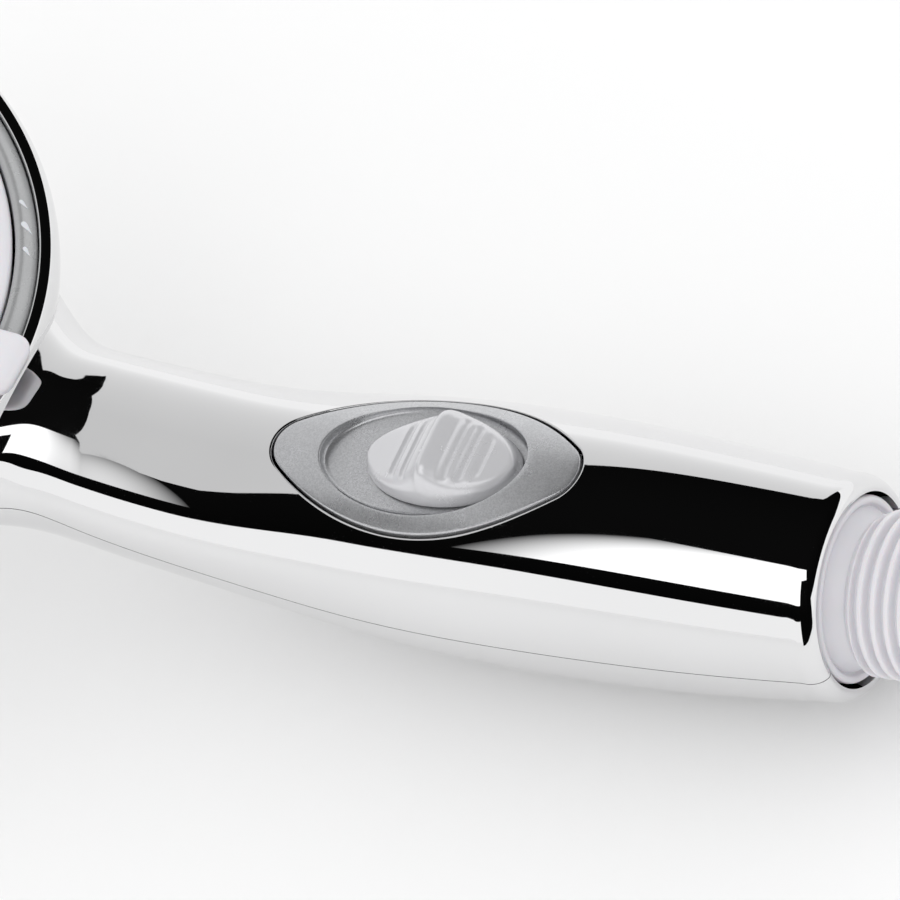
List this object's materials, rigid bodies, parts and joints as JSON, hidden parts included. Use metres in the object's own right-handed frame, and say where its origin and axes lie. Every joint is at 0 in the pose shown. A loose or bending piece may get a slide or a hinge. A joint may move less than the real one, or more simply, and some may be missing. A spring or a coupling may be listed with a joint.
{
  "type": "handheld shower head",
  "caption": "Handheld shower head: chrome handle and round tilted head, slide pause switch on the handle, turning spray selector with lever, and a G1/2 hose nipple.",
  "frame": {"origin": "centre of the hose-washer seat, at the free end of the threaded nipple", "axes": "+X out of the nipple towards the hose, +Z towards the side with the switch and the spray, +Y across the handle"},
  "size_m": [0.2163, 0.0932, 0.0878],
  "materials": {
    "chrome_shell": "mirror chrome plate on moulded ABS",
    "silver_trim": "fine metallic silver coat",
    "silver_ring": "satin silver",
    "white_plastic": "moulded, satin gloss",
    "grey_plastic": "fine matt texture",
    "inner_plastic": "moulded",
    "spool_plastic": "acetal",
    "green_plastic": "moulded",
    "nozzle_rubber": "silicone",
    "black_rubber": "nitrile",
    "steel": "stainless",
    "mesh_steel": "stainless"
  },
  "bodies": {
    "handle": {"back_shell": "chrome_shell", "front_shell": "chrome_shell", "switch_trim": "silver_trim", "trim_screws": "steel", "valve_body": "inner_plastic", "bore_plug": "inner_plastic", "plug_seal": "black_rubber", "inlet_nipple": "white_plastic", "nipple_seal": "black_rubber", "flow_regulator": "green_plastic", "strainer": "mesh_steel", "neck_tube": "inner_plastic", "tube_seals": "black_rubber", "manifold": "inner_plastic", "port_seal": "black_rubber", "head_screws": "steel", "mode_ring": "silver_ring", "drop_marks": "white_plastic", "hub_washer": "steel", "centre_screw": "steel"},
    "switch": {"slide_knob": "grey_plastic", "carriage": "inner_plastic", "valve_spool": "spool_plastic", "spool_seals": "black_rubber", "detent_ball": "steel", "detent_spring": "steel"},
    "spray_head": {"selector_disc": "white_plastic", "selector_ring": "white_plastic", "nozzle_mat": "nozzle_rubber", "face_plate": "white_plastic", "centre_cap": "silver_ring"},
    "turbine": {"turbine": "spool_plastic"}
  },
  "joints": [
    {"name": "pause_slide", "type": "slide", "parent": "handle", "child": "switch", "axis": [-1, 0, 0], "range_m": [0, 0.006]},
    {"name": "mode_turn", "type": "hinge", "parent": "handle", "child": "spray_head", "pos_m": [-0.1722, 0, 0.0473], "axis": [0.5, 0, 0.866], "range_deg": [-60, 60]},
    {"name": "turbine_spin", "type": "hinge", "parent": "spray_head", "child": "turbine", "pos_m": [-0.1722, 0, 0.0473], "axis": [0.5, 0, 0.866], "continuous": true}
  ]
}
